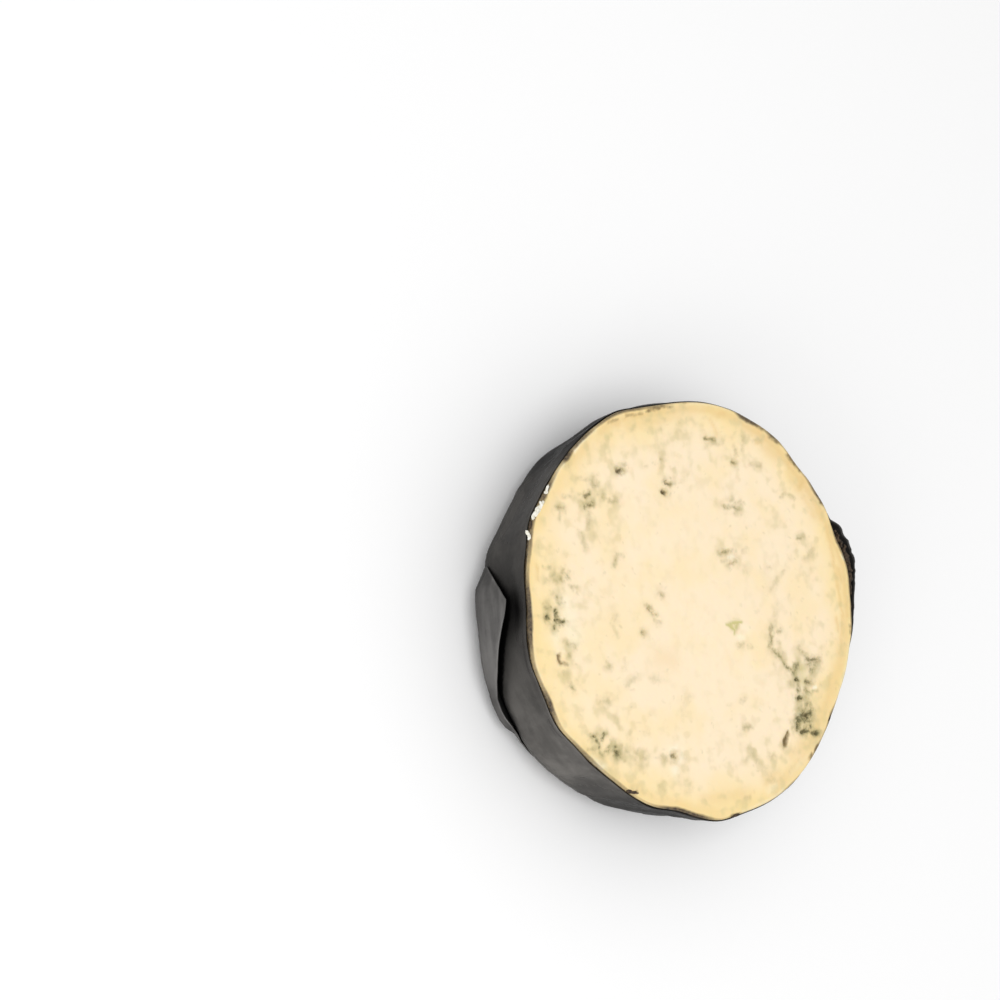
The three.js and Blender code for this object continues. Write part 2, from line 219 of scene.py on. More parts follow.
MOULD = [
    # round the two open eyes near the top
    (-40.7, -17.6, -0.1, 0.9, 0.5, 0.4), (-39.4, -20, 0.2, 1.8, 0.7, 0.5), (-34.9, -4.1, 1, 2.5, 0.6, 0.56),
    (-31.9, -4.9, 0, 0.6, 0.7, 0.55), (-32.5, -5.9, 0.1, 0.7, 0.5, 0.3), (-40.9, -3.8, 1, -0.3, 0.6, 0.4),
    # the string at the upper left
    (-38.4, -34, 0.4, 5.2, 0.45, 0.22), (-37.3, -28.5, 1.4, 0.3, 0.7, 0.4),
    (-33.8, -32.2, -0.1, 1.7, 0.6, 0.62), (-31, -32.2, -0.4, 1.8, 0.8, 0.62),
    (-29.4, -31.5, 0.4, 0.3, 0.5, 0.4), (-28.4, -31.7, 3.2, -1.1, 0.6, 0.3),
    (-22.9, -31.2, 1.3, 0.2, 0.8, 0.14), (-33.4, -26.1, 0.6, 0.7, 0.6, 0.38),
    (-31.7, -24.2, 0.3, 3, 0.5, 0.36), (-33.8, -27.4, 0.6, 1.2, 0.5, 0.2),
    (-34.2, -39.4, 0.2, 2.2, 0.45, 0.28), (-31.6, -41.6, 0.3, 1.4, 0.6, 0.5),
    (-30.4, -41.3, 2.4, -0.4, 0.4, 0.3), (-23.4, -35.3, 3.5, 0.7, 0.6, 0.26),
    (-42.6, -36.6, 0.2, 0.6, 0.5, 0.25),
    # down the left, with the star at its middle
    (-16.3, -49.8, 0.2, 2.2, 0.4, 0.3), (-14, -46.9, 1.6, 0.3, 0.7, 0.36),
    (-12.7, -49.3, 0.3, 0.5, 0.6, 0.22), (-14.8, -43.8, 2.1, 2, 0.5, 0.5),
    (-12.8, -44.7, 1, 1.1, 0.5, 0.45), (-10.3, -41.5, 0.4, 1.5, 0.45, 0.42),
    (-7.9, -46.8, 1.5, 0.6, 0.5, 0.5), (-5.6, -50.8, 2.4, 0.4, 0.8, 0.45),
    (-3.5, -51.3, 0.9, 0.1, 0.7, 0.8), (-4.6, -47.9, 2.8, -0.5, 0.5, 0.9),
    (-1.8, -48.4, 2.1, -1.1, 0.5, 0.75), (-1.8, -48.4, 0.7, 2.7, 0.5, 0.95),
    (-2, -48.5, 0.4, 0.7, 0.6, 0.85), (4.2, -46, 1.4, 2.4, 0.5, 0.38), (5.6, -43.6, 1, 0.4, 0.45, 0.35),
    (7.5, -45.9, 0.2, 0.5, 0.45, 0.4), (9.4, -49, 0.5, 1.4, 0.4, 0.2), (12.2, -48.5, 0.4, 0.7, 0.6, 0.26),
    (16.1, -46.6, 0.5, 0.4, 0.55, 0.5), (14.6, -47.2, 0.8, 0.4, 0.5, 0.28),
    # faint ones left of the middle
    (-17, -24, 2.7, -1.5, 0.55, 0.4), (-16.6, -23, 0.2, 0.8, 0.5, 0.22), (-4.6, -11.7, 0.2, 0.5, 0.6, 0.42),
    (-6.6, -10.4, 0.2, 1, 0.5, 0.14), (-2.2, -17.2, 3.3, 2.6, 0.55, 0.46),
    (0.5, -15.3, 2.3, 0.3, 0.45, 0.34), (2.7, -14.6, 0.2, 1.4, 0.35, 0.3), (4.7, -20, 0.3, 0.5, 0.65, 0.46),
    (-0.5, -28, 1.1, -2.2, 0.5, 0.2), (0.6, -30.2, 4.4, 1.4, 0.5, 0.18),
    (12.3, -33.6, 0.4, 0.5, 0.65, 0.38), (11, -27.4, 3, -1, 0.6, 0.15), (18.5, -28, -1.7, 2.6, 0.6, 0.22),
    (17.4, -19.4, 0.8, 2.8, 0.8, 0.2), (20.4, -38.7, 0.6, 0.2, 0.7, 0.2),
    (21.2, -36.4, 0.8, 0.6, 0.8, 0.26), (26, -33.6, 2.4, 0.6, 0.8, 0.14),
    # the branching cluster at the lower left
    (30.1, -42.1, 0.3, 0.7, 0.6, 0.7), (29.9, -38.6, 1.4, -1.1, 0.5, 0.76),
    (31.3, -41.2, 1.9, 0.5, 0.55, 0.68), (33.2, -44.5, -0.2, 2.5, 0.55, 0.36),
    (34.6, -40.4, 0.8, 0.6, 0.8, 0.42), (33.3, -36.8, 1.5, -1.3, 0.55, 0.66),
    (34.4, -35.4, 1.8, 0.6, 0.8, 0.72), (35.4, -32, 0.3, 0.6, 0.6, 0.28),
    (35.9, -28.2, 2.1, -1.3, 0.55, 0.34), (37.8, -27, 0.5, 0.6, 0.8, 0.28),
    (40.2, -27.6, 1, 0.2, 0.8, 0.15), (31.6, -30.3, 0.4, 0.6, 0.8, 0.16),
    (31.2, -24.8, 0.2, 1.2, 0.8, 0.16), (39.2, -19.8, 0.2, 0.6, 0.8, 0.26),
    # the lone eye with its pale surround, and the faint ones under it
    (39.1, -16.4, 0.3, 0.8, 0.75, 0.6), (41, -17.2, 0.2, 1.4, 0.5, 0.24), (39.4, -13, 1.2, 0.4, 0.5, 0.18),
    (46.6, -13.2, 2.4, 0.4, 1.2, 0.14), (24.2, -8.2, 4.6, -2.2, 0.9, 0.12),
    (46.1, -22.4, 0.4, 0.8, 1, 0.15),
    # the lower right of the middle
    (27.8, 10.8, 0, 1.1, 0.6, 0.24), (28.3, 6, 0.3, 1.2, 0.6, 0.13), (35.2, 10.4, 0, 2.4, 0.55, 0.38),
    (33, 10.6, 0.2, 0.4, 0.6, 0.16), (36.9, 8.7, 0.3, 0.7, 0.6, 0.16), (30.3, 15.6, 0.2, 1, 0.6, 0.12),
    (41.1, 11.4, 3.5, 1.7, 0.7, 0.22), (44.1, 8.4, 0.2, 1.4, 0.8, 0.16), (46.4, 14.2, 2.8, 3, 0.9, 0.18),
    (44.2, 18.4, 0.2, 1.4, 0.65, 0.28), (54, 7, 0.2, 1.2, 0.6, 0.2), (50.8, 16, 0.6, 2, 0.8, 0.2),
    # the two rings and the specks at the upper right
    (-45.4, 13, 0.4, 3.8, 0.5, 0.55), (-44.2, 13.2, 0.4, 5.8, 0.7, 0.2), (-38.2, 21.6, 0.4, 1.3, 0.6, 0.5),
    (-42, 23.4, 1.8, 0.2, 0.6, 0.3), (-44.2, 27, 3.2, -0.8, 0.55, 0.25), (-36.4, 28.2, 0.2, 3.8, 0.5, 0.3),
    (-43.6, 31.4, 0.2, 1.2, 0.55, 0.26), (-25.9, 15.9, 0.9, 5.5, 0.5, 0.5),
    (-27.9, 18.9, 0.2, 0.8, 0.55, 0.34), (-26.7, 20.8, 0.3, 1.8, 0.55, 0.38),
    (-23.2, 20, 0.2, 1.6, 0.5, 0.2), (-26.5, 37.6, -0.7, 2.4, 0.5, 0.32), (-27.2, 40, 1.8, 2.3, 0.5, 0.3),
    (-14.4, 41.2, 0, 2.2, 0.5, 0.48), (-13.2, 20.2, 0.2, 1.4, 0.6, 0.24), (-8, 42.5, -2, 3.5, 0.7, 0.22),
    (-12.8, 11.4, -0.8, 2, 0.55, 0.42), (-13.6, 13.4, 0.6, 2.6, 0.55, 0.48),
    (-10.8, 11.8, -0.1, 1.6, 0.4, 0.25), (-9.7, 14.4, -0.8, 2.6, 0.5, 0.42),
    (-12.6, 17.4, 1.2, 0.6, 0.5, 0.24), (-8.6, 19.4, 1.4, 0.2, 0.8, 0.15),
    # the flecks right of the middle
    (7.4, 14.2, 1.8, -1.8, 0.4, 0.2), (12.6, 13, 0.3, 1.6, 0.6, 0.32), (13.8, 16.4, 0.2, 1, 0.5, 0.2),
    (4.2, 21, 0.2, 1.2, 0.6, 0.14), (-5.6, 33.8, 4.3, -5.8, 0.6, 0.22), (-7.3, 28.4, 0.2, 1, 0.6, 0.22),
    (3, 29.5, 5, -2.5, 0.8, 0.16),
    # the long vein at the right, from its thin top to the mass at its foot
    (8.9, 26.4, 2.7, -1.1, 0.6, 0.45), (11.6, 25.3, 3.1, -1.2, 0.55, 0.58), (10.8, 27.8, 0, 1.1, 0.45, 0.4),
    (14.7, 24.1, 1.9, 2.4, 0.45, 0.58), (16.6, 26.5, 2.3, 1.8, 0.5, 0.62), (18.9, 28.3, 3, 1.5, 0.5, 0.68),
    (21.9, 29.8, 1.4, 1.6, 0.5, 0.66), (13.4, 27, 0.4, 1, 0.5, 0.2), (16.2, 34.6, 1.7, 1.5, 0.45, 0.42),
    (21, 32.8, 1.6, -0.6, 0.75, 0.72), (24.8, 32, 0.6, 0.6, 0.75, 0.9), (25.9, 29.8, 0.4, 0.6, 0.6, 0.3),
    (26.7, 32.5, 3.6, -0.2, 0.5, 0.72), (30, 31.7, 0.4, 1.3, 0.75, 0.8), (19.6, 37.2, 1, 4.6, 0.8, 0.6),
    (20.8, 38, 2.4, 0.6, 0.9, 0.55), (21.2, 40.2, 1, -0.8, 0.9, 0.5), (26, 35.4, 0.4, 2, 0.7, 0.62),
    (28.2, 34.8, 0.8, 1.2, 0.65, 0.55), (29, 37.4, 0.1, 2, 0.4, 0.38), (32.3, 34.6, 0.4, 0.9, 0.75, 0.6),
    (32.8, 31.6, 0.8, 0.8, 0.7, 0.45), (34.8, 32.7, 0.1, 1.8, 1.1, 1.05), (33.9, 35.6, 0.5, 0.8, 0.75, 0.6),
    (35.8, 30.5, 2.2, -0.7, 1, 0.85), (36, 32, 1.4, 1.6, 1.3, 0.72), (35.8, 34.4, 1, 0.6, 0.9, 0.5),
    (39.5, 30.8, -0.1, 2.4, 0.75, 0.85), (38.4, 34.3, 0.5, 0.9, 0.65, 0.78),
    (40.2, 35.2, 0.6, 1.2, 0.8, 0.88), (39.1, 26, 2.8, -1.4, 0.5, 0.5), (41.9, 24.6, 0.7, -1.2, 0.4, 0.35),
]
HAZE = [
    (-49.2, -8, 0.8, 4.2, 1.3, 0.5), (-50, -2.6, 0.4, 0.6, 1, 0.55), (-48.2, 1.4, 0.2, 1.6, 1.2, 0.5),
    (-48, -16.8, 1.2, 0.8, 1.1, 0.45), (-50, -13, 1.6, -1.4, 0.9, 0.5), (-43, -14.4, 0.4, 1.8, 1, 0.4),
    (-43.8, -7.2, 0.6, 2.4, 1.1, 0.35), (-47.2, 8.4, 0.6, 1.2, 0.9, 0.4), (-38.4, -5, 0.2, 5.2, 1.2, 0.45),
    (-37.6, 3.4, 4, 2.8, 1.5, 0.45), (-40.4, 2.8, 0.8, 0.8, 1.1, 0.4), (-27.2, 13.6, 0.4, 0.8, 1.2, 0.35),
    (-25.8, -8.2, 0.4, 1.4, 0.9, 0.4), (-23.8, -9.2, 1, 0.4, 1, 0.25), (-36, -25, 6, 1, 3.2, 0.4),
    (-47, -2, 3, 4, 3.5, 0.3), (-5, -33, 0.6, 2, 1.8, 0.35), (-4.8, -42.6, 0.4, 4.2, 1.6, 0.3),
    (-8.6, -48, 13.4, 1.4, 3.4, 0.4), (1.2, -47, 4.8, 1, 2, 0.4), (12, -50, 4, 2, 2.2, 0.35),
    (11.8, 0.2, 1, 1.6, 1.2, 0.3), (-16.6, 11, 0.4, 8, 1.6, 0.4), (34.6, -42.6, 3.8, 3.2, 2.4, 0.5),
    (36.4, -43.2, 2.2, 2.2, 0.8, 0.5), (20.6, 33.6, 2.8, 2.4, 2.4, 0.6), (24, 34.2, 7, 0.4, 2.6, 0.6),
    (37.6, 20.8, 5.4, -1.8, 2.4, 0.45), (13, 26.2, 0.6, 3.4, 1.8, 0.4), (-53.4, 6.4, 1.2, 2.2, 2.2, 0.5),
    (46, -22, 1, 10, 2.2, 0.25), (20, 24, 14, 3, 2, 0.25),
    # the broad grey-green ring inside the rind, where most of the mould grew
    (-46, -26, -3.5, 12, 3.2, 0.42), (-50, -12, 0.5, 21, 3.4, 0.4), (-43, -14, 1, 20, 3.2, 0.35),
    (-42, 12, -2, 14, 3.2, 0.32), (-36, -34, 12, 4, 3.6, 0.4), (-30, -24, 8, 0, 2.8, 0.3),
    (-18, -46, 10, 2, 3.6, 0.4), (2, -47, 14, 1, 3, 0.4), (22, -38, 8, 6, 3.4, 0.3),
    (32, -42, 6, 14, 3.6, 0.5), (38, -24, 6, 12, 3.2, 0.25), (42, 8, 3, 12, 3.6, 0.42),
    (24, 33, 16, 0, 4.6, 0.5), (12, 25, 8, 5, 2.6, 0.3), (-28, 18, 4, 4, 2.6, 0.3),
    (-14, 12, 4, 6, 2.8, 0.25), (-20, 34, 14, 10, 3, 0.25),
]
LIME = [
    (6.6, 10, -0.1, 5.2, 0.5, 0.9), (6.8, 11, 1.6, 1, 0.85, 0.9), (8.2, 12.2, 1.3, -0.2, 0.5, 0.8),
    (6.8, 13.8, 1, -1, 0.7, 0.85), (5.6, 12.6, 0.2, 2, 0.6, 0.3), (22.8, 34.6, 3, 0, 1.8, 0.4),
    (29.4, 36.4, 2, 1, 1.4, 0.25),
]
BROWN = [
    (7.4, -49.5, 1.8, 0.4, 0.8, 0.85), (9.2, -49.1, 0.7, 1.5, 0.7, 0.7), (39.2, 25.9, 2.6, -1.3, 0.8, 0.75),
]
AMBER = [
    (-16.6, -52, 3.2, -0.3, 0.7, 0.5), (-50.2, 16.2, 3.8, 1.3, 0.7, 0.4),
    (-30.2, 46.4, 1.8, -1.4, 1.8, 0.7), (-36.6, 42.2, 2, 0.2, 1.6, 0.6), (-51.6, 19, 0.4, 2.6, 1.3, 0.5),
    (-42.8, 31.4, 0.2, 2, 1, 0.5), (-41, 35, 2.6, 3.6, 2.2, 0.4), (-25.4, 48.8, 5.4, 1.8, 1.6, 0.45),
    (-16.6, 52.4, 4.6, 0.8, 0.9, 0.5), (-12, 53.2, 22, 0.2, 0.7, 0.5), (10, 53.4, 12, -4, 0.7, 0.5),
    (9.8, 51, 3.4, -0.2, 0.6, 0.5), (-4, 54.6, 3, 0.2, 1.2, 0.5), (27, 45, 6, -3, 1.6, 0.4),
    (-54.2, -13.4, 0.6, 5.4, 1.2, 0.5), (-54.8, -5, 1.2, 8, 1.6, 0.4), (52.4, -8, 1, 16, 2, 0.25),
    (12.4, -15.6, 1.2, 4, 3.2, 0.2), (49.6, 20, 1.4, -5, 1.4, 0.35), (-47, -29, 3.6, -5.4, 2, 0.3),
    (-52.4, -19.6, 0.4, 2.4, 1.3, 0.5), (43, 31, 2.4, -5, 2, 0.3),
]
PALE = [
    (-38, -19.2, 0.4, 2.4, 0.8, 0.3), (-49, -29.6, 2.6, -3.6, 0.9, 0.6), (36.8, -42.2, 1.6, 1.8, 0.9, 0.5),
    (42.8, -17.4, 0.4, 1, 1, 0.5), (37.4, -17, -0.2, 2.4, 0.7, 0.5), (40.4, -13.8, 0.8, -0.4, 0.6, 0.4),
    (28.2, 38, -0.2, 0.8, 0.6, 0.8), (34.5, 31.3, 0.3, 0.5, 0.6, 0.6), (10.6, 13.4, 0.4, 1.4, 0.9, 0.5),
    (8.2, 16, 0.6, 1, 1, 0.25), (-3, -47.6, 0.8, 1.8, 0.4, 0.3), (40.2, -13.4, -2.2, 0.6, 0.6, 0.3),
    (-6, -44.6, 10, 1.4, 2.6, 0.35), (2.6, -49.6, 3, 0.4, 1.6, 0.3), (-11.8, 14.2, 0.2, 2.2, 0.5, 0.5),
    (52.6, 18.6, 1.4, -3.6, 0.7, 0.2), (50.4, 24.4, -3.8, 6.6, 0.7, 0.15),
    (-7.4, 56.9, 0.8, 0.3, 0.35, 0.8),
]
# Where the brown rind shows at the face's rim: angle, half width in degrees, how dark, how wide in mm
RIND_SHOWS = [
    (2, 2.2, 0.6, 0.3), (24, 4, 0.3, 0.3), (38, 4, 0.5, 0.6), (49, 5, 0.8, 0.6), (80, 4, 0.5, 0.5),
    (90, 6, 0.5, 0.5), (101, 6, 0.7, 0.7), (115, 3, 0.6, 0.8), (120, 4, 0.6, 0.8), (129, 4, 0.5, 1),
    (139, 4, 0.7, 1.1), (148, 4, 0.8, 1.1), (152, 2, 0.5, 0.6), (182, 4, 0.4, 0.4), (191, 6, 0.6, 0.5),
    (200, 6, 0.6, 0.6), (213, 6, 0.6, 0.5), (219, 2, 0.7, 0.9), (231, 6, 0.8, 1.1), (241, 5, 0.5, 0.5),
    (248, 5, 0.5, 0.4), (260, 6, 0.8, 0.55), (270, 6, 0.9, 0.7), (281, 5, 0.5, 0.3), (290, 5, 0.75, 0.6),
    (306, 9, 0.55, 0.45), (322, 6, 0.4, 0.3), (340, 7, 0.8, 0.7), (350, 6, 0.7, 0.6),
]
# Marks that follow the rim, each from an angle and a distance in from the edge to another
RIND_STAINS = [
    (34.6, 0.6, 35.6, 0.9, 0.6, 0.8), (37.5, 0.5, 39.5, 0.6, 0.5, 0.8), (1.4, 0.4, 3.4, 0.1, 0.5, 1),
    (75, 0.7, 77.2, 0.8, 0.5, 0.6), (113.6, 0.5, 114.4, 0.7, 0.6, 0.8), (117, 0.4, 117.8, 0.8, 0.5, 0.7),
    (125.5, 0.7, 132, 1, 0.6, 0.7), (136.5, 1.1, 140.5, 1.2, 0.6, 0.7), (143.5, 0.8, 151, 0.7, 0.6, 0.8),
    (171.6, 0.1, 172.6, 0.2, 0.35, 0.4), (176.9, 0.9, 180.9, 0.7, 0.45, 0.6),
    (181.8, 1, 186.3, 1.2, 0.5, 0.8), (188.6, 1.7, 194, 1.6, 0.5, 0.4),
    (197.5, 1.9, 201.5, 1.5, 0.45, 0.45), (207, 0.2, 214.5, 0.2, 0.5, 0.6),
    (216.6, 0.2, 219.8, 0.6, 0.6, 0.9), (325.2, 0.1, 326.8, 1.5, 0.5, 0.8),
]
# Pale marks that follow the rim; the two from 262 to 303 degrees are a painted highlight along the cut edge,
# where it catches the light.
RIM_PALE_AND_HIGHLIGHT = [
    (206, 0.5, 216, 0.4, 0.6, 0.25), (221, 0.5, 231, 0.6, 0.7, 0.3), (262, 0.9, 283, 0.9, 0.5, 0.15),
    (291, 0.9, 303, 0.9, 0.6, 0.1), (309, 1.1, 314, 1.2, 0.8, 0.2), (5, 0.4, 21, 0.5, 0.5, 0.25),
    (54, 0.5, 72, 0.6, 0.4, 0.2), (156, 0.3, 170, 0.3, 0.4, 0.2),
]
RIM_AMBER = [
    (110, 2.6, 150, 2.6, 1.6, 0.5), (112, 5.2, 128, 4.6, 1.5, 0.35), (150, 2, 205, 2.4, 1.6, 0.35),
    (174, 4, 196, 4.4, 1.4, 0.25), (80, 2.2, 108, 2, 1.4, 0.4), (44, 3.6, 78, 3, 2, 0.35),
    (205, 4, 240, 3, 1.8, 0.15), (325, 2.2, 356, 2.4, 1.3, 0.18), (20, 3, 42, 3.4, 1.8, 0.3),
]
RIM_STEP = 1.5  # degrees between the short strokes that follow the rim
FINE_NEAR = (0.7, 1.6)  # the face is divided finer so near a stroke, in mm and in half widths
PIT_DEPTH = 1.1
MOULD_DEPTH = 0.3
REACH = 2.0  # half widths to which a stroke is felt
UNEVEN = (1.0, 2.6)  # lengths of the wiggles in a stroke's edge
UNEVEN_MOST = (0.55, 0.6)  # how far they go, in mm and in half widths
MOULD_WIDER = 1.5  # the felt spreads past the crack that it grew in
VEIL_WIDER = 1.9  # and thins out into a grey-green veil
VEIL_PAST = 0.9
VEIL_SHARE = 0.65
SPECKS = 4  # loose specks round the strongest mark
SPECK_AWAY = 1.2
SPECK_HALF = (0.3, 0.6)
SPECK_SHARE = (0.25, 0.7)
PORES = 300  # pinholes and specks too small to draw one by one
PORE_HALF = (0.25, 0.45)
PORE_DARK = (0.05, 0.22)
PORE_RING = (40, 11)  # how far from the axis most of them lie, and their spread
PORES_WITHIN = 55
PORE_LONG = 1.2
# Low unevenness, as pairs of length and height: the rind, its edge on the face, and the cut face
RIND_ROUGH = [(3.5, 0.25), (1.4, 0.1)]
RIND_WAVY = [(5, 0.5), (1.4, 0.25)]
FACE_RELIEF = [(4, 0.05), (1.5, 0.035)]
RIND_INSIDE = 0.1  # the rough rind stays so far inside the wrap
RIND_THIN = 0.2  # how wide it shows where nothing else is given
RIND_FAINT = 0.28  # and how dark
RIND_REACHES = 4  # past it no rind shows on the face
CRUMBLY = (0.55, 0.65)  # length and share of the breaks in the felt
EDGE_WORN = (5, 0.2, 1.2)  # length, depth and width of the wear on the cut edge


def smooth(value, start, end):
    """A soft step from 0 at start to 1 at end, which may be the lower of the two."""
    share = min(1.0, max(0.0, (value - start) / (end - start)))
    return share * share * (3 - 2 * share)


def bump(angle, at, half):
    """A swell of height 1 round a circle, with its half width in degrees."""
    return math.exp(-((((angle - at + 180) % 360) - 180) / half) ** 2)


def swell(angle, swells):
    """How far out the swells of a list stand at an angle."""
    return sum(out * bump(angle, at, half) for at, half, out in swells)


def outward(angle):
    """The direction away from the axis at an angle."""
    return Vector((math.cos(math.radians(angle)), math.sin(math.radians(angle)), 0))


def ripple(place, waves):
    """Low noise of several lengths and heights."""
    return sum(high * noise.noise(place / long) for long, high in waves)


def dented(angle, depth):
    """How far inside the thumb's hollow a place on the side is, from 0 to 1."""
    return bump(angle, DENT["at"], DENT["half"]) * math.exp(-(((depth - DENT["depth"]) / DENT["high"]) ** 2))


def outline(angle, depth):
    """The drum's outline at an angle and a depth below the cut face, as a share of the mean radius."""
    face = FACE_RADIUS + swell(angle, FACE_SWELLS)
    rear = REAR_RADIUS + swell(angle, REAR_SWELLS)
    radius = face + (rear - face) * smooth(depth, 0, REAR_FROM)
    if depth < EDGE_SWELLS_END:
        radius += swell(angle, EDGE_SWELLS) * smooth(depth, EDGE_SWELLS_END, 0)
        radius += swell(angle, LIPS) * smooth(depth, *LIPS_END)
    return (radius - DENT["in"] * dented(angle, depth)) / FACE_RADIUS


def angle_of(co):
    """The angle about the axis at which a place lies."""
    return math.degrees(math.atan2(co.y, co.x)) % 360


def section(side_radius, bottom, s):
    """Radius and height of the slab's section, s millimetres of surface below the cut face."""
    if s <= STRAIGHT:
        return side_radius, SLAB_HEIGHT - s
    turn = min((s - STRAIGHT) / REAR_ROUNDING, math.pi / 2)
    across = (side_radius - (FOIL_OUTSIDE - REAR_ROUNDING)) * (1 - math.cos(turn))
    return side_radius - across, REAR_ROUNDING - (REAR_ROUNDING - bottom) * math.sin(turn)


SECTION_END = STRAIGHT + REAR_ROUNDING * math.pi / 2


def steps(start, end, size):
    """Evenly spaced values from start to end, about that far apart."""
    count = max(1, round(abs(end - start) / size))
    return [start + (end - start) * i / count for i in range(count + 1)]


def spun(profile, name):
    """Turns a section of (radius, height, value) about the axis; each point keeps its value in a layer."""
    bm = bmesh.new()
    layer = bm.verts.layers.float.new(name)
    verts = [bm.verts.new((radius, 0, height)) for radius, height, _ in profile]
    for vert, (_, _, value) in zip(verts, profile):
        vert[layer] = value
    edges = [bm.edges.new(pair) for pair in zip(verts, verts[1:])]
    full = {"axis": (0, 0, 1), "cent": (0, 0, 0), "angle": 2 * math.pi, "steps": STEPS_ROUND}
    bmesh.ops.spin(bm, geom=verts + edges, use_merge=True, **full)
    bmesh.ops.remove_doubles(bm, verts=bm.verts, dist=1e-4)
    bmesh.ops.recalc_face_normals(bm, faces=bm.faces)
    return bm, layer


def face_swell(angle, radius):
    """How far the cut face lies above or below its plane."""
    high = 0
    for height, length, heading, start in FACE_WAVES:
        across = radius * math.cos(math.radians(angle - heading))
        high += height * math.sin(2 * math.pi * across / length + start)
    return high * smooth(radius, FACE_RADIUS, FACE_SWELL_ENDS)


# The section runs from under the slab, round the edge, up the side and in over the face
profile = [(radius, RIND_BOTTOM, 0) for radius in steps(0, FOIL_OUTSIDE - REAR_ROUNDING, UNDER_STEP)]
up_the_side = steps(SECTION_END, STRAIGHT, ROUND_STEP)[1:] + steps(STRAIGHT, SIDE_STEP, SIDE_STEP)[1:]
profile += [(*section(RIND_RADIUS, RIND_BOTTOM, s), 0) for s in up_the_side]
for turn in steps(0, math.pi / 2, math.pi / 2 / EDGE_STEPS):
    inset = CUT_EDGE_ROUNDING * (1 - math.cos(turn))
    drop = CUT_EDGE_ROUNDING * (1 - math.sin(turn))
    profile.append((RIND_RADIUS - inset, SLAB_HEIGHT - drop, 1))
rim = RIND_RADIUS - CUT_EDGE_ROUNDING
profile += [(rim - inset, SLAB_HEIGHT, 1) for inset in RIM_RINGS]
profile += [(radius, SLAB_HEIGHT, 1) for radius in steps(rim - RIM_RINGS[-1], 0, RING)[1:]]
bm, on_face = spun(profile, "on_face")
for vert in bm.verts:
    vert.co.xy *= outline(angle_of(vert.co), SLAB_HEIGHT - vert.co.z)


def places_of(points):
    """A tree that finds which of the points lie near a spot of the face."""
    found = kdtree.KDTree(len(points))
    for index, point in enumerate(points):
        found.insert((point.x, point.y, 0), index)
    found.balance()
    return found


# The face is divided once more where a stroke lies
faces = [face for face in bm.faces if all(vert[on_face] > 0.5 for vert in face.verts)]
face_places = places_of([face.calc_center_median() for face in faces])
near = set()
for x, y, run_x, run_y, half, _ in PITS + MOULD:
    for at in steps(0, 1, 1 / max(1, math.hypot(run_x, run_y))):
        spot = (x + run_x * at, y + run_y * at, 0)
        found = face_places.find_range(spot, FINE_NEAR[0] + FINE_NEAR[1] * half)
        near.update(index for _, index, _ in found)
edges = {edge for index in near for edge in faces[index].edges}
bmesh.ops.subdivide_edges(bm, edges=list(edges), cuts=1, use_grid_fill=True)

on_face = bm.verts.layers.float["on_face"]
names = ("pit", "mould", "veil", "haze", "lime", "amber", "pale", "stain", "rind", "edge")
layers = {name: bm.verts.layers.float.new(name) for name in names}
bm.verts.ensure_lookup_table()
face_verts = [vert for vert in bm.verts if vert[on_face] > 0.5]
vert_places = places_of([vert.co for vert in face_verts])
drifts = {}  # how far the strokes wander at each point of the face


def lay(name, x, y, run_x, run_y, half, strength):
    """Lays one stroke on the face, uneven at its edges; where strokes meet, the stronger shows."""
    start = Vector((x, y, 0))
    line = Vector((run_x, run_y, 0))
    length = max(line.length, 0.01)
    for place, index, _ in vert_places.find_range(start + line / 2, length / 2 + REACH * half):
        if index not in drifts:
            drifts[index] = sum((noise.noise_vector(place / size) for size in UNEVEN), Vector())
        drift = drifts[index] * min(UNEVEN_MOST[0], half * UNEVEN_MOST[1])
        from_start = place + Vector((drift.x, drift.y, 0)) - start
        at = min(1, max(0, from_start.dot(line) / length**2))
        off = (from_start - line * at).length / half
        shown = strength * math.exp(-(off**2))
        vert = face_verts[index]
        vert[layers[name]] = max(vert[layers[name]], shown)


def lay_round(name, angle, inset, angle2, inset2, half, strength):
    """Lays a stroke that follows the rim, a distance in from its edge."""
    spots = []
    for at in steps(0, 1, RIM_STEP / abs(angle2 - angle)):
        turn = angle + (angle2 - angle) * at
        away = inset + (inset2 - inset) * at
        spots.append(outward(turn).xy * (RIND_RADIUS * outline(turn, 0) - away))
    for start, end in zip(spots, spots[1:]):
        lay(name, *start, *(end - start), half, strength)


for name, group in (
    ("pit", PITS), ("haze", HAZE), ("lime", LIME), ("stain", BROWN), ("amber", AMBER), ("pale", PALE),
):
    for stroke in group:
        lay(name, *stroke)
for name, group in (("stain", RIND_STAINS), ("pale", RIM_PALE_AND_HIGHLIGHT), ("amber", RIM_AMBER)):
    for stroke in group:
        lay_round(name, *stroke)
draw = random.Random(7)
for x, y, run_x, run_y, half, strength in MOULD:
    lay("mould", x, y, run_x, run_y, MOULD_WIDER * half, strength)
    lay("veil", x, y, run_x, run_y, VEIL_WIDER * half + VEIL_PAST, VEIL_SHARE * strength)
    for _ in range(round(SPECKS * strength)):
        at = draw.random()
        spot = (x + run_x * at + draw.gauss(0, SPECK_AWAY), y + run_y * at + draw.gauss(0, SPECK_AWAY))
        lay("mould", *spot, 0, 0, draw.uniform(*SPECK_HALF), strength * draw.uniform(*SPECK_SHARE))
for _ in range(PORES):
    start = outward(draw.uniform(0, 360)).xy * min(PORES_WITHIN, abs(draw.gauss(*PORE_RING)))
    run = draw.uniform(0, PORE_LONG) * outward(draw.uniform(0, 180)).xy
    lay("mould", *start, *run, draw.uniform(*PORE_HALF), draw.uniform(*PORE_DARK))

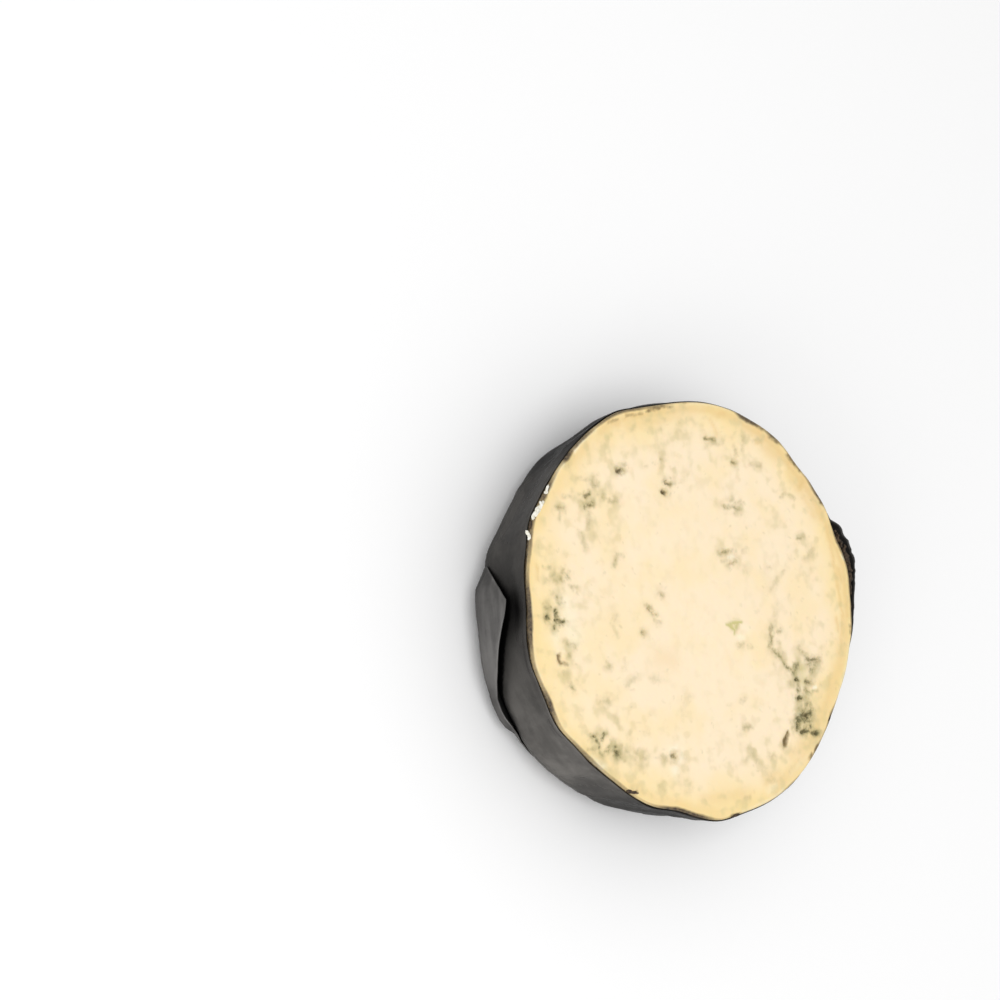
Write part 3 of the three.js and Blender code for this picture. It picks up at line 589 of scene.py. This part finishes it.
for vert in bm.verts:
    co = vert.co.copy()
    angle = angle_of(co)
    depth = SLAB_HEIGHT - co.z
    radius = math.hypot(co.x, co.y)
    inset = RIND_RADIUS * outline(angle, depth) - radius
    flat = Vector((co.x, co.y, 0))
    if vert[on_face] < 0.5:
        vert[layers["rind"]] = 1
        if co.z > RIND_BOTTOM + RIND_INSIDE:
            vert.co.xy *= 1 - max(0, ripple(co, RIND_ROUGH) + RIND_INSIDE) / FACE_RADIUS
        continue
    vert[layers["edge"]] = inset
    if inset < RIND_REACHES:
        wide = sum(w * bump(angle, at, half) for at, half, _, w in RIND_SHOWS)
        dark = min(1, sum(d * bump(angle, at, half) for at, half, d, _ in RIND_SHOWS))
        wide = RIND_THIN + wide * (1 + ripple(flat, RIND_WAVY))
        dark = RIND_FAINT + (1 - RIND_FAINT) * dark
        vert[layers["rind"]] = smooth(inset, wide + 0.5, wide * 0.4) * dark
    whole = 1 - CRUMBLY[1] * (0.5 - 0.5 * noise.noise(flat / CRUMBLY[0]))
    sunk = PIT_DEPTH * vert[layers["pit"]] ** 0.7 + MOULD_DEPTH * vert[layers["mould"]] * whole
    worn = EDGE_WORN[1] * max(0, noise.noise(flat / EDGE_WORN[0])) * smooth(inset, EDGE_WORN[2], 0)
    vert.co.z += face_swell(angle, radius) + ripple(flat, FACE_RELIEF) - sunk - worn

# The paste is moist, a little translucent and matt; its colour runs from cream in the middle to straw
# yellow under the rind, and the mould is a grey-green felt that takes the shine off.
CREAM = colour("#FDE8C7")
STRAW = colour("#F9DFA2")
DEEP_STRAW = colour("#EFD392")
HONEY = colour("#E0BC78")
GREENISH = colour("#D0C18E")
LIME_GREEN = colour("#C8C07A")
WHITISH = colour("#FDF6DC")
VEIL = colour("#C2B284")
MOULD_LIGHT = colour("#A79D6E")
MOULD_DARK = colour("#5C5838")
PIT_BROWN = colour("#5A4A28")
STAIN_BROWN = colour("#8A744A")
RIND_BROWN = colour("#6E5F44")
RIND_DARK = colour("#3E3326")
# The length in mm and the detail of each pattern
PATTERNS = {"mottle": (16, 3), "blotch": (3.5, 1.5), "clump": (1.6, 2), "grain": (0.9, 4), "felt": (0.5, 3)}
STRAW_BAND = 15  # mm in from the rim

paste, tree = material("blue_veined_paste_cut")
place = add(tree, "TexCoord", {}).outputs["Object"]
fields = {}
for name, (length, detail) in PATTERNS.items():
    sockets = {"Vector": place, "Scale": 1 / (length * MM), "Detail": detail, "Roughness": 0.55}
    fields[name] = add(tree, "TexNoise", sockets)
for name in layers:
    fields[name] = add(tree, "Attribute", {}, attribute_name=name).outputs["Fac"]

# New fields are made of these: a field spread from one range to another, then the products of two, and
# last a share for each coat of colour
for name, source, low, high, to_low, to_high in (
    ("mottled", "mottle", 0.4, 0.68, 0, 0.4), ("banded", "mottle", 0.3, 0.65, 0.6, 1),
    ("ring", "edge", 0, STRAW_BAND, 1, 0), ("rim", "edge", 0, 4, 0.45, 0), ("far_in", "edge", 6, 34, 1, 0.3),
    ("blotched", "blotch", 0.5, 0.72, 0, 0.4), ("broken", "blotch", 0.36, 0.66, 0.05, 1),
    ("veiled", "blotch", 0.35, 0.6, 0.35, 1), ("clumped", "clump", 0.34, 0.62, 0.6, 1.2),
    ("felted", "felt", 0.3, 0.7, 0.85, 1.15), ("grained", "grain", 0.35, 0.65, 0, 1),
):
    sockets = {"Value": fields[source], 1: low, 2: high, 3: to_low, 4: to_high}
    fields[name] = add(tree, "MapRange", sockets, interpolation_type="SMOOTHSTEP")
for name, one, other in (
    ("straw", "ring", "banded"), ("faint", "blotched", "far_in"), ("hazed", "haze", "broken"),
    ("veil", "veil", "veiled"), ("mould", "mould", "clumped"), ("bloom", "mould", "felted"),
    ("pit", "pit", "felted"), ("stain", "stain", "clumped"),
):
    fields[name] = add(tree, "Math", {0: fields[one], 1: fields[other]}, operation="MULTIPLY")
for name, source, low, high, to_high in (
    ("grown", "bloom", 0.03, 0.82, 0.96), ("dense", "bloom", 0.38, 1.1, 1), ("dull", "bloom", 0, 0.5, 0.3),
    ("veil", "veil", 0.03, 0.7, 0.8), ("open", "pit", 0.12, 0.9, 0.9), ("stain", "stain", 0.05, 0.8, 0.9),
    ("rind", "rind", 0.12, 0.85, 1),
):
    fields[name] = add(tree, "MapRange", {"Value": fields[source], 1: low, 2: high, 3: 0, 4: to_high})

# The coats of colour, each laid over those before it
blue = {0: fields["dense"], 6: MOULD_LIGHT, 7: MOULD_DARK}
brown = {0: fields["grained"], 6: RIND_BROWN, 7: RIND_DARK}
blue, brown = (add(tree, "Mix", each, data_type="RGBA").outputs[2] for each in (blue, brown))
tone = CREAM
for name, coat in (
    ("mottled", STRAW), ("straw", STRAW), ("rim", DEEP_STRAW), ("amber", HONEY), ("faint", GREENISH),
    ("hazed", GREENISH), ("veil", VEIL), ("lime", LIME_GREEN), ("pale", WHITISH), ("grown", blue),
    ("open", PIT_BROWN), ("stain", STAIN_BROWN), ("rind", brown),
):
    tone = add(tree, "Mix", {0: fields[name], 6: tone, 7: coat}, data_type="RGBA").outputs[2]
sockets = {0: fields["mould"], 1: fields["felt"], 2: fields["grain"]}
height = add(tree, "Math", sockets, operation="MULTIPLY_ADD")
surface = add(tree, "Bump", {"Height": height, "Strength": 0.25, "Distance": 0.1 * MM})
rough = add(tree, "Math", {0: fields["dull"], 1: 0.5}, operation="ADD")
sockets = {
    "Base Color": tone, "Roughness": rough, "IOR": 1.45, "Subsurface Weight": 0.15,
    "Subsurface Radius": (1.0, 0.6, 0.3), "Subsurface Scale": 2 * MM, "Normal": surface,
}
shader = add(tree, "BsdfPrincipled", sockets)
add(tree, "OutputMaterial", {"Surface": shader})
cheese = finished(bm, "cheese_slab", paste, AXIS)
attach(cheese, "root")
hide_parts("cheese")


# The foil wrap
# Thin aluminium foil with a dark satin lacquer, drawn round the drum and gathered into pleats under its
# end. It is pressed smooth on the side, stands off the rind at the right rim and was cut with the cheese.
FOIL_THICK = 0.22
FOIL_CLEAR = 0.04
PRESSED_ON = RIND_RADIUS + FOIL_THICK + FOIL_CLEAR - FOIL_OUTSIDE  # no hollow goes deeper than the rind
DRAWN_TIGHT = 0.12  # and all of it lies so much nearer
FOIL_STEP = 0.8
UNDERNEATH = SECTION_END + 1  # marks the points under the slab, past the end of the section
# How far below the face the foil ends, and how far its loose rim stands off, each by angle
FOIL_ENDS = [
    (0, 0.6), (5, 1.1), (70, 1.1), (79, 0.3), (107, 0.3), (112, 1.1), (192, 1), (205, 0.7), (226, 0.9),
    (241, 1.5), (262, 1.3), (272, 1.7), (283, 0.9), (292, 1.3), (300, 0.8), (310, 1.4), (325, 1.4),
    (340, 1), (360, 0.6),
]
STANDS_OFF = [
    (72, 0), (76, 0.4), (80, 0.7), (85, 1.2), (90, 2), (95, 3.1), (100, 3.9), (104, 3.4), (106, 2.4),
    (108.5, 0),
]
STANDS_OFF_DEPTH = 12
BUCKLED = [(2.3, 0.5, 0.22), (0.8, 3.5, 0.12)]  # degrees long, a start of its own, and how strong
PLEATS = {"count": 24, "groove": 0.6, "ridge": 0.5, "disc": 14, "full": 20}
END_FOLD = {"facing": 200, "to": (16, 13)}  # a broad fold covers the pleats on one side
RAGGED = [(7, 0.12), (17, 0.1), (31, 0.08)]  # waves round the rim, and how high
TORN = [(1.6, 0.12)]  # the fine tears between them, as length and height
RIM_FADES = 4  # so far down the rim is even, and the crinkle full
# Creases pressed into the side: angle and depth of both ends, height and half width
CREASES = [
    ((212, 3), (234, 12), 0.3, 2.5), ((352, 6), (328, 20), 0.4, 3), ((28, 22), (52, 4), 0.6, 3),
    ((92, 14), (128, 23), 0.6, 3), ((136, 3), (152, 19), 0.45, 3), ((178, 20), (196, 8), 0.2, 3),
    ((228, 22), (232, 8), -0.3, 0.9), ((214, 4), (226, 24), 0.25, 1.2), ((292, 4), (300, 22), 0.22, 1.4),
    ((316, 2), (311, 20), 0.25, 1.2), ((331, 3), (322, 22), 0.25, 1.6),
]
CRINKLE = {"length": 13, "high": 0.45, "sharp": 2.2, "proud": 0.2, "finer": 2.3, "fine_share": 0.3}
FINE_FROM = Vector((3.1, 7.7, 1.3))  # sets the finer ridges apart from the wide ones
# The side that a hand pressed smooth, from and to which angles, and how much of the creases it took out
SMOOTH_FROM = (150, 178)
SMOOTH_TO = (360, 335)
SMOOTHED = 0.7
# Painted light on the lacquer, by angle: painted dark reflections, darkest near 208 degrees, and a painted
# highlight, strongest near 306 degrees; past the folded corner's front edge the lacquer is in painted shade
PAINTED_LIGHT_BY_ANGLE = [
    (0, 0.2), (20, 0.25), (60, 0.2), (120, 0.3), (160, 0.2), (196, 0.1), (208, 0.03), (216, 0.12),
    (224, 0.38), (246, 0.38), (254, 0.22), (268, 0.2), (278, 0.42), (292, 0.55), (306, 0.85), (314, 0.78),
    (324, 0.5), (334, 0.22), (344, 0.17), (350, 0.32), (360, 0.2),
]
FLAP_ENDS = (250.5, 306.5)
FLAP_EDGE = [  # how far down the side the front edge of the corner lies
    (250.5, 19.3), (254, 15.2), (257.5, 11.6), (260.5, 9.4), (265.5, 10.6), (272, 13.1), (279, 15.6),
    (283, 17.9), (286.5, 20.2), (290, 21.2), (294.5, 20.1), (297, 20.8), (300, 22), (306.5, 24),
]
# The painted shade under the folded corner, from none 0.2 mm above its front edge to full 0.5 mm below it
PAINTED_SHADE_PAST_EDGE = (0.5, -0.2)


def between(points, at):
    """A value read off a line of (place, value) points."""
    if at <= points[0][0]:
        return points[0][1]
    for (start, low), (end, high) in zip(points, points[1:]):
        if at <= end:
            return low + (high - low) * (at - start) / (end - start)
    return points[-1][1]


def stands_off(angle, depth):
    """How far the loose rim stands off the rind; its edge is torn and buckled."""
    off = between(STANDS_OFF, angle)
    buckled = 1 + sum(share * noise.noise(Vector((angle / long, row, 0))) for long, row, share in BUCKLED)
    return off * buckled * smooth(depth, STANDS_OFF_DEPTH, 0)


def creased(angle, depth):
    """How high the creases stand at a place on the side."""
    arc = math.radians(FACE_RADIUS)
    high = 0
    for start, end, height, half in CREASES:
        line = Vector(((end[0] - start[0]) * arc, end[1] - start[1]))
        place = Vector(((((angle - start[0] + 180) % 360) - 180) * arc, depth - start[1]))
        at = min(1, max(0, place.dot(line) / line.length_squared))
        high += height * max(0, 1 - (place - line * at).length / half)
    return high


def pleat(angle, radius):
    """One pleat laid over the next, from 0 at its edge to 1 under the next one's."""
    facing = radius * math.cos(math.radians(angle - END_FOLD["facing"]))
    uncovered = smooth(facing, *END_FOLD["to"])
    turn = angle / 360 * PLEATS["count"]
    return (turn - math.floor(turn)) * smooth(radius, PLEATS["disc"], PLEATS["full"]) * uncovered


def crinkle(co):
    """Sharp low ridges with flat facets between them, as crushed foil keeps."""
    place = co / CRINKLE["length"]
    fine = CRINKLE["fine_share"] * abs(noise.noise(place * CRINKLE["finer"] + FINE_FROM))
    wide = (1 - CRINKLE["fine_share"]) * abs(noise.noise(place))
    return CRINKLE["high"] * (CRINKLE["proud"] - CRINKLE["sharp"] * (wide + fine))


def pressed(angle):
    """1 on the side pressed smooth, 0 on the side left crinkled."""
    return smooth(angle, *SMOOTH_FROM) * smooth(angle, *SMOOTH_TO)


def wrap_point(angle, s, radius_under=None):
    """A point of the foil's outside, s millimetres of surface below the cut face or out under the slab."""
    out = outward(angle)
    if radius_under is not None:
        radius = radius_under * outline(angle, SLAB_HEIGHT)
        return out * radius + Vector((0, 0, PLEATS["groove"] * pleat(angle, radius_under)))
    radius, height = section(FOIL_OUTSIDE, 0, s)
    depth = SLAB_HEIGHT - height
    on_side = smooth(radius, FOIL_OUTSIDE - REAR_ROUNDING, FOIL_OUTSIDE - REAR_ROUNDING / 3)
    on_round = smooth(height, REAR_ROUNDING, REAR_ROUNDING / 2)
    proud = stands_off(angle, depth) + creased(angle, depth) * on_side
    flat = (1 - SMOOTHED * pressed(angle)) * on_side
    proud += PLEATS["ridge"] * flat * (1 - pleat(angle, radius)) * on_round
    up = Vector((0, 0, height))
    proud += flat * smooth(depth, 0, RIM_FADES) * crinkle(out * radius + up)
    proud = max(proud - DRAWN_TIGHT, PRESSED_ON)
    return out * (radius * outline(angle, depth) + proud) + up


profile = [(*section(FOIL_OUTSIDE, 0, s), s) for s in steps(0, SECTION_END, FOIL_STEP)]
profile += [(radius, 0, UNDERNEATH) for radius in steps(FOIL_OUTSIDE - REAR_ROUNDING, 0, ROUND_STEP)[1:]]
bm, length_down = spun(profile, "length_down")
painted_light = bm.verts.layers.float.new("painted_light")
for vert in bm.verts:
    angle = angle_of(vert.co)
    s = vert[length_down]
    # painted light by angle: painted dark reflections and a painted highlight
    vert[painted_light] = between(PAINTED_LIGHT_BY_ANGLE, angle)
    if s > UNDERNEATH - 0.5:
        vert.co = wrap_point(angle, 0, vert.co.xy.length)
        continue
    if FLAP_ENDS[0] < angle < FLAP_ENDS[1]:
        past = s - between(FLAP_EDGE, angle)
        # painted shade under the folded corner, past its front edge, and in the thumb's hollow
        vert[painted_light] *= smooth(past, *PAINTED_SHADE_PAST_EDGE) * (1 - dented(angle, s))
    vert.co = wrap_point(angle, s)
    torn = sum(high * math.sin(waves * math.radians(angle)) for waves, high in RAGGED)
    torn += ripple(vert.co, TORN)
    vert.co.z += (torn - between(FOIL_ENDS, angle)) * smooth(s, RIM_FADES, 0)
bmesh.ops.recalc_face_normals(bm, faces=bm.faces)

# The lacquer is dark grey with a satin shine, which fine rubbing makes uneven. Its colour runs from near
# black to grey by the painted light layer: painted dark reflections, a painted highlight and painted shade
# under the folded corner, broken up by faint streaks that rolling left and clouds that handling left.
CLOUD_LENGTH = 15 * MM
RUB_LENGTH = 2.4 * MM
STREAK = (26 * MM, 2.2 * MM, 2.2 * MM)  # the streaks run along the flap
LACQUER_IN_PAINTED_SHADE = "#191818"
LACQUERS = {
    # its painted lit tone, where the painted highlight is full, and how much of the streaks shows
    "aluminium_foil_dark_lacquer": ("#7A7773", 0.2),
    "aluminium_foil_folded_painted_highlight": ("#7A7876", 0.45),
}
lacquers = []
for name, (painted_lit_tone, streaky) in LACQUERS.items():
    lacquer, tree = material(name)
    place = add(tree, "TexCoord", {}).outputs["Object"]
    stretched = add(tree, "Mapping", {"Vector": place, "Scale": [1 / length for length in STREAK]})
    streaks = add(tree, "TexNoise", {"Vector": stretched, "Scale": 1, "Detail": 3})
    sockets = {"Vector": place, "Scale": 1 / CLOUD_LENGTH, "Detail": 5, "Roughness": 0.6}
    cloud = add(tree, "TexNoise", sockets)
    rub = add(tree, "TexNoise", {**sockets, "Scale": 1 / RUB_LENGTH})
    worn = add(tree, "Mix", {0: streaky, 2: cloud, 3: streaks}, data_type="FLOAT")
    sockets = {"Value": worn, 1: 0.36, 2: 0.62, 3: 0.72, 4: 1.28}
    clouded = add(tree, "MapRange", sockets, interpolation_type="SMOOTHSTEP")
    painted_light_layer = add(tree, "Attribute", {}, attribute_name="painted_light").outputs["Fac"]
    # the share of the painted lit tone: the painted light layer times the streaks and clouds
    share = add(tree, "Math", {0: painted_light_layer, 1: clouded}, operation="MULTIPLY")
    sockets = {0: share, 6: colour(LACQUER_IN_PAINTED_SHADE), 7: colour(painted_lit_tone)}
    tone = add(tree, "Mix", sockets, data_type="RGBA")
    rough = add(tree, "MapRange", {"Value": rub, 1: 0.3, 2: 0.7, 3: 0.34, 4: 0.5})
    surface = add(tree, "Bump", {"Height": rub, "Strength": 0.25, "Distance": 0.12 * MM})
    sockets = {
        "Base Color": tone.outputs[2], "Metallic": 0.6, "Specular Tint": colour("#606060"),
        "Roughness": rough, "Normal": surface,
    }
    shader = add(tree, "BsdfPrincipled", sockets)
    add(tree, "OutputMaterial", {"Surface": shader})
    lacquers.append(lacquer)
wrap = finished(bm, "foil_wrap_skin", lacquers[0], AXIS)
wall = wrap.modifiers.new("wall", "SOLIDIFY")
wall.thickness = FOIL_THICK * MM
wall.offset = -1
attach(wrap, "root")
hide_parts("foil_wrap")


# The folded corner of the foil
# One corner of the gathered end was folded up against the side. It is a three-cornered flap of two layers,
# open along its long front edge, over a dark gap. Its lacquer is painted lighter, a painted highlight that is
# strongest along its front edge.
FLAP_THICK = 0.35
FLAP_CELLS = (150, 44)
FLAP_ROOT = SECTION_END - 2.6
ROOT_SUNK = 0.35  # its root is pressed in among the other folds
BELLY = 23.5  # how far down the side the belly is
# By angle: how far its front edge and its belly stand off the side, and how strong the painted highlight on
# its lacquer is
EDGE_OFF = [
    (250.5, 0.3), (254, 1.2), (260.5, 1.9), (265.5, 2.3), (272, 2.5), (279, 2.4), (286, 2.2), (292, 1.8),
    (294.5, 1.3), (297, 0.8), (300, 0.5), (306.5, 0.1),
]
BELLY_OFF = [
    (250.5, 0.1), (253, 1.3), (256.5, 3), (259, 3.4), (264, 3.9), (274, 3.4), (284.5, 3.4), (288, 3.6),
    (292, 3.4), (294.5, 2.7), (297.5, 1), (301, 0.6), (306.5, 0.1),
]
FLAP_PAINTED_HIGHLIGHT = [(250.5, 0.45), (262, 0.57), (274, 0.76), (288, 0.56), (297, 0.68), (306.5, 0.55)]
EDGE_PAINTED_HIGHLIGHT = 0.2  # and so much more along its front edge
FLAP_RIDGES = [(0.14, 17, 2.4), (0.06, 5, 5)]  # height, degrees along it and waves across it

bm = bmesh.new()
bmesh.ops.create_grid(bm, x_segments=FLAP_CELLS[0], y_segments=FLAP_CELLS[1], size=0.5)
painted_light = bm.verts.layers.float.new("painted_light")
for vert in bm.verts:
    angle = FLAP_ENDS[0] + (FLAP_ENDS[1] - FLAP_ENDS[0]) * (vert.co.x + 0.5)
    up = vert.co.y + 0.5
    # painted highlight on the flap, strongest along its front edge
    vert[painted_light] = between(FLAP_PAINTED_HIGHLIGHT, angle) + EDGE_PAINTED_HIGHLIGHT * smooth(up, 0.9, 1)
    front = between(FLAP_EDGE, angle)
    s = FLAP_ROOT + (front - FLAP_ROOT) * up
    belly = -ROOT_SUNK + (between(BELLY_OFF, angle) + ROOT_SUNK) * smooth(FLAP_ROOT - s, 0, FLAP_ROOT - BELLY)
    to_edge = smooth(BELLY - s, 0, max(1, BELLY - front))
    proud = belly + (between(EDGE_OFF, angle) - belly) * to_edge
    standing = smooth(up, 0.05, 0.35) * min(1, between(EDGE_OFF, angle))
    for high, long, waves in FLAP_RIDGES:
        proud += high * noise.noise(Vector((angle / long, up * waves, high * 40))) * standing
    vert.co = wrap_point(angle, s) + outward(angle) * proud
bmesh.ops.recalc_face_normals(bm, faces=bm.faces)
flap = finished(bm, "foil_flap", lacquers[1], AXIS)
wall = flap.modifiers.new("wall", "SOLIDIFY")
wall.thickness = FLAP_THICK * MM
wall.offset = 0
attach(flap, "root")


# The crumbs
# White crumbs of paste that the knife left on the foil's rim, and brown bits of dry rind, some lying on
# the edge and more of them caught where the loose rim of the foil stands off.
POCKET = {
    "from": 80, "to": 106, "crumbs": 170, "deep": (0.6, 3.2), "half": (0.25, 0.85), "longer": (1, 1.7),
    "turned": (-35, 35), "beside": (-1.5, 0, 1.5), "below": 0.5,
}
POCKET_REACH = 1.7  # how far the lumps and the turn of a crumb take it, in its half widths
POCKET_CLEAR = 0.15  # and how far it stays from the foil
LUMPS = [(1.2, 0.5), (3.4, 0.2)]  # how many to a half width, and how high
# By crumb: angle, distance in from the edge, height above the face, half length, half width and half
# height in mm, and its turn from the rim's line in degrees
PASTE_CRUMBS = [
    (239.5, -0.3, 0, 0.9, 0.45, 0.35, 20), (238.4, 0.05, 0.1, 0.9, 0.6, 0.5, -15),
    (237.3, 0.3, 0.1, 1, 0.75, 0.55, 25), (236.2, 0.5, 0.15, 0.9, 0.6, 0.5, -20),
    (235.2, 0.55, 0.1, 0.8, 0.5, 0.4, 30), (234.5, 0.75, 0.05, 0.5, 0.4, 0.3, -10),
    (230.3, 0.05, -0.05, 1, 0.4, 0.3, 8), (231.4, 0.2, 0, 0.6, 0.45, 0.3, -25),
    (244, -0.9, -0.35, 0.8, 0.5, 0.35, 50), (244.9, -0.35, -0.15, 0.8, 0.5, 0.3, 15),
]
RIND_CRUMBS = [
    (241.6, -0.4, -0.2, 1.2, 0.45, 0.3, 8), (324.5, 0.2, 0, 1.1, 0.45, 0.3, 18),
    (326.1, 0.75, 0.1, 1.1, 0.4, 0.3, 22), (2.2, 0.1, -0.1, 1.4, 0.4, 0.3, 0),
    (48.4, 0.5, -0.1, 1, 0.3, 0.2, 0),
]


def crumb(bm, angle, inset, above, long, wide, high, turned_by, fine=3):
    """One broken lump at the rim."""
    shape = bmesh.ops.create_icosphere(bm, subdivisions=fine, radius=1)["verts"]
    own = Vector((angle * 3.1, inset * 7.7, 0))  # gives each crumb a shape of its own
    for vert in shape:
        vert.co *= 1 + sum(out * noise.noise(vert.co * often + own) for often, out in LUMPS)
    radius = RIND_RADIUS * outline(angle, max(0, -above)) - inset
    spot = outward(angle) * radius + Vector((0, 0, SLAB_HEIGHT + above))
    along_rim = Matrix.Rotation(math.radians(angle + 90 + turned_by), 4, "Z")
    size = Matrix.Diagonal((long, wide, high, 1))
    bmesh.ops.transform(bm, matrix=Matrix.Translation(spot) @ along_rim @ size, verts=shape)


white, brown = bmesh.new(), bmesh.new()
for bm, crumbs in ((white, PASTE_CRUMBS), (brown, RIND_CRUMBS)):
    for each in crumbs:
        crumb(bm, *each)
draw = random.Random(11)
for _ in range(POCKET["crumbs"]):
    angle = draw.uniform(POCKET["from"], POCKET["to"])
    deep = draw.uniform(*POCKET["deep"])
    room = min(stands_off(angle + beside, deep + POCKET["below"]) for beside in POCKET["beside"])
    room += FOIL_OUTSIDE - RIND_RADIUS - FOIL_THICK - POCKET_CLEAR
    half = min(draw.uniform(*POCKET["half"]), room / (1 + POCKET_REACH))
    away = half + (room - half * (1 + POCKET_REACH)) * draw.random()
    long = half * draw.uniform(*POCKET["longer"])
    crumb(brown, angle, -away, -deep, long, half, half, draw.uniform(*POCKET["turned"]), fine=2)

# Dry rind is a dull dark brown and the paste dries to a chalky white, each mottled with a darker tone
CRUMB_LENGTH = 0.8 * MM
for bm, name, finish, light, dark, coarse in (
    (white, "paste_crumbs", "dried_white_paste", "#FFFCF4", "#E2DECB", 0.6),
    (brown, "rind_crumbs", "dry_brown_rind", "#503F2D", "#2A2118", 0.85),
):
    dry, tree = material(finish)
    place = add(tree, "TexCoord", {}).outputs["Object"]
    spots = add(tree, "TexNoise", {"Vector": place, "Scale": 1 / CRUMB_LENGTH, "Detail": 4})
    share = add(tree, "MapRange", {"Value": spots, 1: 0.38, 2: 0.62, 3: 0, 4: 1})
    tone = add(tree, "Mix", {0: share, 6: colour(dark), 7: colour(light)}, data_type="RGBA")
    sockets = {"Height": spots, "Strength": 0.35, "Distance": 0.1 * MM}
    surface = add(tree, "Bump", sockets)
    sockets = {"Base Color": tone.outputs[2], "Roughness": coarse, "Normal": surface}
    shader = add(tree, "BsdfPrincipled", sockets)
    add(tree, "OutputMaterial", {"Surface": shader})
    piece = finished(bm, name, dry, AXIS)
    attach(piece, "root")
